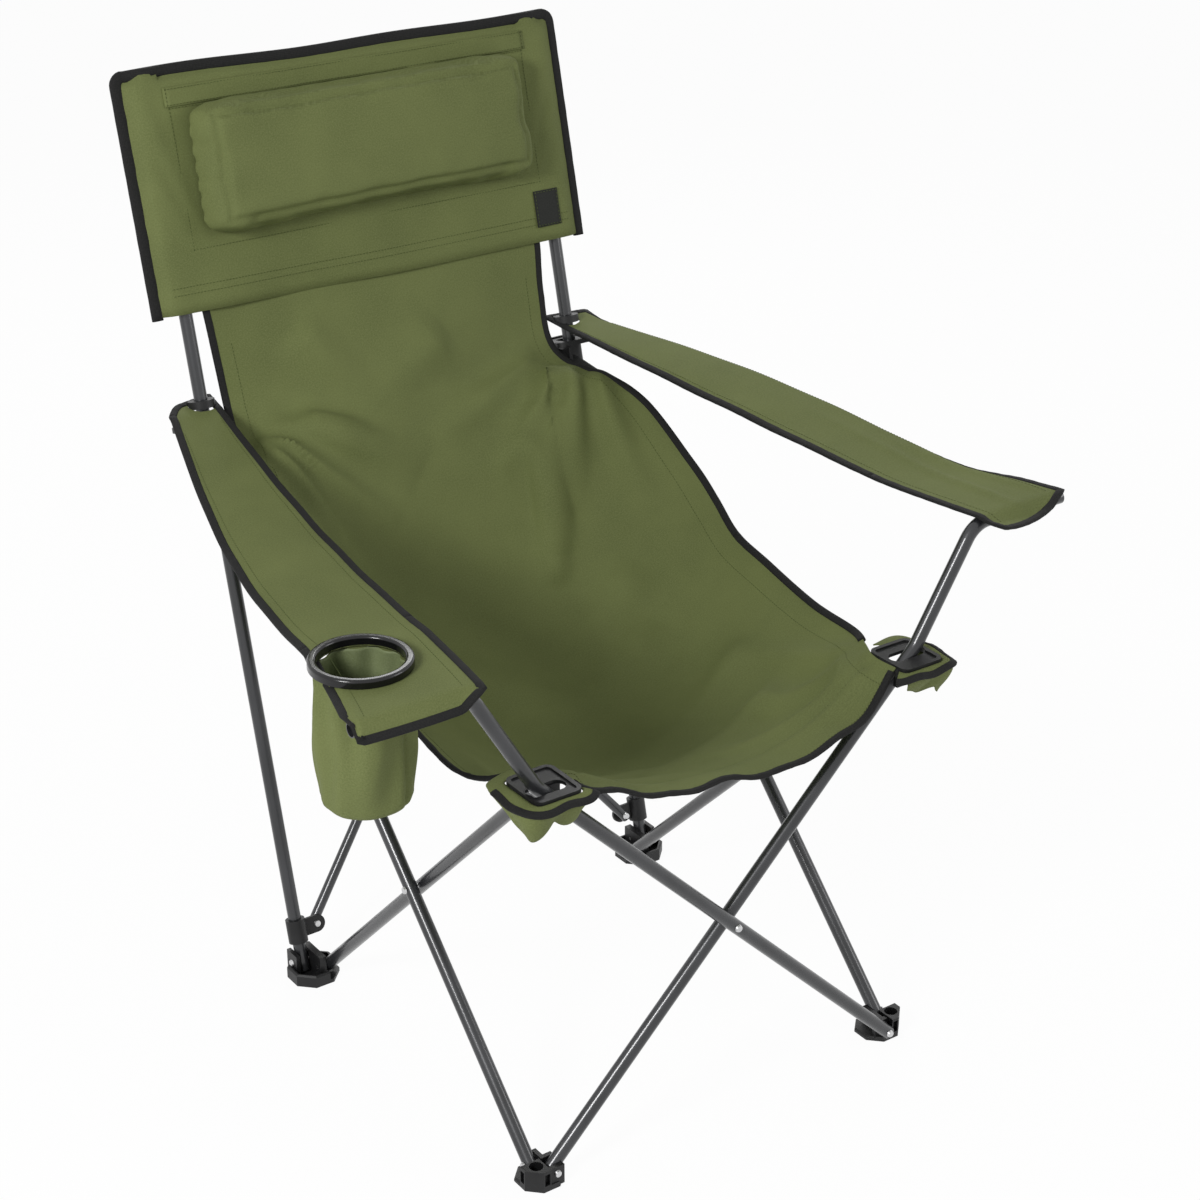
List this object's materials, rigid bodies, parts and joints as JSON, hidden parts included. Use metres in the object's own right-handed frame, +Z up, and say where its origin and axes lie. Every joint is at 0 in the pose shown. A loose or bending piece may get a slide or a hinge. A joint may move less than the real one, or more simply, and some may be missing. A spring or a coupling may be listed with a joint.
{
  "type": "folding camp chair",
  "caption": "High-back folding camp chair: crossed steel tube legs, slung cloth bucket seat, padded headrest, sagging arms and a cup holder; folds to a bundle.",
  "frame": {"origin": "middle of the overall box, on the floor under the chair", "axes": "+Z up, the chair faces -Y, +X is the left hand of someone sitting, so the cup holder is on -X"},
  "size_m": [0.968, 0.8325, 1.0781],
  "materials": {
    "frame_metal": "dark grey hammered paint, satin",
    "rivet_steel": "plain bright rivets",
    "black_plastic": "moulded black nylon, matte",
    "ring_plastic": "moulded black plastic, glossy",
    "green_cloth": "olive woven polyester with black bound edges",
    "patch_cloth": "plain dark sewn patch"
  },
  "bodies": {
    "foot_front_left": {"foot_front_left": "black_plastic", "foot_rivets_front_left": "rivet_steel"},
    "foot_rear_left": {"foot_rear_left": "black_plastic", "foot_rivets_rear_left": "rivet_steel"},
    "front_tube_left": {"front_tube_to_left": "frame_metal"},
    "side_long_left": {"side_tube_long_left": "frame_metal", "side_cross_rivet_left": "rivet_steel"},
    "side_short_left": {"side_tube_short_left": "frame_metal"},
    "corner_left": {"front_bracket_left": "black_plastic", "front_bracket_rivets_left": "rivet_steel", "corner_flap_left": "green_cloth"},
    "upright_left": {"upright_left": "frame_metal", "sling_back": "green_cloth", "headrest_sleeve": "green_cloth", "headrest_pillow": "green_cloth", "headrest_patch": "patch_cloth"},
    "collar_left": {"back_collar_left": "black_plastic", "back_collar_rivet_left": "rivet_steel"},
    "rear_bracket_left": {"rear_bracket_left": "black_plastic", "rear_bracket_rivet_left": "rivet_steel"},
    "back_tube_left": {"back_tube_to_left": "frame_metal", "back_tube_rivets_left": "rivet_steel"},
    "arm_left": {"arm_left": "green_cloth", "cup_ring": "ring_plastic", "cup_pocket": "green_cloth"},
    "grommet_left": {"arm_grommet_left": "black_plastic"},
    "foot_front_right": {"foot_front_right": "black_plastic", "foot_rivets_front_right": "rivet_steel"},
    "foot_rear_right": {"foot_rear_right": "black_plastic", "foot_rivets_rear_right": "rivet_steel"},
    "front_tube_right": {"front_tube_to_right": "frame_metal", "front_cross_rivet": "rivet_steel"},
    "side_long_right": {"side_tube_long_right": "frame_metal", "side_cross_rivet_right": "rivet_steel"},
    "side_short_right": {"side_tube_short_right": "frame_metal"},
    "corner_right": {"front_bracket_right": "black_plastic", "front_bracket_rivets_right": "rivet_steel", "corner_flap_right": "green_cloth"},
    "upright_right": {"upright_right": "frame_metal"},
    "collar_right": {"back_collar_right": "black_plastic", "back_collar_rivet_right": "rivet_steel"},
    "rear_bracket_right": {"rear_bracket_right": "black_plastic", "rear_bracket_rivet_right": "rivet_steel"},
    "back_tube_right": {"back_tube_to_right": "frame_metal", "back_tube_rivets_right": "rivet_steel"},
    "arm_right": {"arm_right": "green_cloth"},
    "grommet_right": {"arm_grommet_right": "black_plastic"},
    "seat": {"sling_seat": "green_cloth"}
  },
  "joints": [
    {"name": "fold", "type": "hinge", "parent": "foot_front_left", "child": "front_tube_right", "pos_m": [-0.2355, -0.3719, 0.016], "axis": [0, -1, 0], "range_deg": [0, 39], "deforming": ["sling_back", "sling_seat", "headrest_sleeve", "headrest_pillow", "headrest_patch", "arm_left", "arm_right", "cup_pocket"]},
    {"name": "front_cross", "type": "hinge", "parent": "front_tube_right", "child": "front_tube_left", "pos_m": [0, -0.3804, 0.2515], "axis": [0, 1, 0], "range_deg": [0, 78]},
    {"name": "foot_front_right_hinge", "type": "hinge", "parent": "front_tube_left", "child": "foot_front_right", "pos_m": [0.2355, -0.3889, 0.016], "axis": [0, -1, 0], "range_deg": [0, 39]},
    {"name": "corner_right_hinge", "type": "hinge", "parent": "front_tube_right", "child": "corner_right", "pos_m": [0.2355, -0.3719, 0.487], "axis": [0, 1, 0], "range_deg": [0, 39]},
    {"name": "corner_left_hinge", "type": "hinge", "parent": "front_tube_left", "child": "corner_left", "pos_m": [-0.2355, -0.3889, 0.487], "axis": [0, -1, 0], "range_deg": [0, 39]},
    {"name": "arm_right_swing", "type": "hinge", "parent": "front_tube_right", "child": "arm_right", "pos_m": [0.47, -0.3719, 0.643], "axis": [-1, 0, 0], "range_deg": [0, 60]},
    {"name": "arm_left_swing", "type": "hinge", "parent": "front_tube_left", "child": "arm_left", "pos_m": [-0.47, -0.3889, 0.643], "axis": [-1, 0, 0], "range_deg": [0, 60]},
    {"name": "side_long_left_hinge", "type": "hinge", "parent": "foot_front_left", "child": "side_long_left", "pos_m": [-0.251, -0.3534, 0.016], "axis": [1, 0, 0], "range_deg": [0, 39]},
    {"name": "side_cross_left", "type": "hinge", "parent": "side_long_left", "child": "side_short_left", "pos_m": [-0.2425, -0.1179, 0.2515], "axis": [-1, 0, 0], "range_deg": [0, 78]},
    {"name": "foot_rear_left_hinge", "type": "hinge", "parent": "side_short_left", "child": "foot_rear_left", "pos_m": [-0.234, 0.1176, 0.016], "axis": [1, 0, 0], "range_deg": [0, 39]},
    {"name": "upright_left_hinge", "type": "hinge", "parent": "side_short_left", "child": "upright_left", "pos_m": [-0.234, 0.1176, 0.016], "axis": [1, 0, 0], "range_deg": [0, 51.5]},
    {"name": "collar_left_slide", "type": "slide", "parent": "upright_left", "child": "collar_left", "axis": [0, 0.242, 0.9703], "range_m": [0, 0.08025]},
    {"name": "grommet_left_slide", "type": "slide", "parent": "upright_left", "child": "grommet_left", "axis": [0, 0.242, 0.9703], "range_m": [0, 0.28271]},
    {"name": "rear_bracket_left_hinge", "type": "hinge", "parent": "side_long_left", "child": "rear_bracket_left", "pos_m": [-0.251, 0.2741, 0.6435], "axis": [-1, 0, 0], "range_deg": [0, 26.5]},
    {"name": "side_long_right_hinge", "type": "hinge", "parent": "foot_front_right", "child": "side_long_right", "pos_m": [0.251, -0.3534, 0.016], "axis": [1, 0, 0], "range_deg": [0, 39]},
    {"name": "side_cross_right", "type": "hinge", "parent": "side_long_right", "child": "side_short_right", "pos_m": [0.2425, -0.1179, 0.2515], "axis": [-1, 0, 0], "range_deg": [0, 78]},
    {"name": "foot_rear_right_hinge", "type": "hinge", "parent": "side_short_right", "child": "foot_rear_right", "pos_m": [0.234, 0.1176, 0.016], "axis": [1, 0, 0], "range_deg": [0, 39]},
    {"name": "upright_right_hinge", "type": "hinge", "parent": "side_short_right", "child": "upright_right", "pos_m": [0.234, 0.1176, 0.016], "axis": [1, 0, 0], "range_deg": [0, 51.5]},
    {"name": "collar_right_slide", "type": "slide", "parent": "upright_right", "child": "collar_right", "axis": [0, 0.242, 0.9703], "range_m": [0, 0.08025]},
    {"name": "grommet_right_slide", "type": "slide", "parent": "upright_right", "child": "grommet_right", "axis": [0, 0.242, 0.9703], "range_m": [0, 0.28271]},
    {"name": "rear_bracket_right_hinge", "type": "hinge", "parent": "side_long_right", "child": "rear_bracket_right", "pos_m": [0.251, 0.2741, 0.6435], "axis": [-1, 0, 0], "range_deg": [0, 26.5]},
    {"name": "back_tube_right_hinge", "type": "hinge", "parent": "collar_left", "child": "back_tube_right", "pos_m": [-0.232, 0.15704, 0.05575], "axis": [0, -0.9703, 0.242], "range_deg": [0, 32.98]},
    {"name": "back_tube_left_hinge", "type": "hinge", "parent": "collar_right", "child": "back_tube_left", "pos_m": [0.232, 0.14025, 0.05993], "axis": [0, 0.9703, -0.242], "range_deg": [0, 32.98]},
    {"name": "seat_drop", "type": "hinge", "parent": "corner_left", "child": "seat", "pos_m": [-0.2172, -0.3519, 0.5069], "axis": [-1, 0, 0], "range_deg": [0, 85]}
  ],
  "couplings": [
    {"joint": "front_cross", "follows": "fold", "ratio": 2},
    {"joint": "foot_front_right_hinge", "follows": "fold", "ratio": 1},
    {"joint": "corner_right_hinge", "follows": "fold", "ratio": 1},
    {"joint": "corner_left_hinge", "follows": "fold", "ratio": 1},
    {"joint": "arm_right_swing", "follows": "fold", "ratio": 1.5385},
    {"joint": "arm_left_swing", "follows": "fold", "ratio": 1.5385},
    {"joint": "side_long_left_hinge", "follows": "fold", "ratio": 1},
    {"joint": "side_cross_left", "follows": "fold", "ratio": 2},
    {"joint": "foot_rear_left_hinge", "follows": "fold", "ratio": 1},
    {"joint": "upright_left_hinge", "follows": "fold", "ratio": 1.3206},
    {"joint": "collar_left_slide", "follows": "fold", "m_per_rad": 0.11789},
    {"joint": "grommet_left_slide", "follows": "fold", "m_per_rad": 0.41534},
    {"joint": "rear_bracket_left_hinge", "follows": "fold", "ratio": 0.67942},
    {"joint": "side_long_right_hinge", "follows": "fold", "ratio": 1},
    {"joint": "side_cross_right", "follows": "fold", "ratio": 2},
    {"joint": "foot_rear_right_hinge", "follows": "fold", "ratio": 1},
    {"joint": "upright_right_hinge", "follows": "fold", "ratio": 1.3206},
    {"joint": "collar_right_slide", "follows": "fold", "m_per_rad": 0.11789},
    {"joint": "grommet_right_slide", "follows": "fold", "m_per_rad": 0.41534},
    {"joint": "rear_bracket_right_hinge", "follows": "fold", "ratio": 0.67942},
    {"joint": "back_tube_right_hinge", "follows": "fold", "ratio": 0.84562},
    {"joint": "back_tube_left_hinge", "follows": "fold", "ratio": 0.84562},
    {"joint": "seat_drop", "follows": "fold", "ratio": 2.1795}
  ]
}
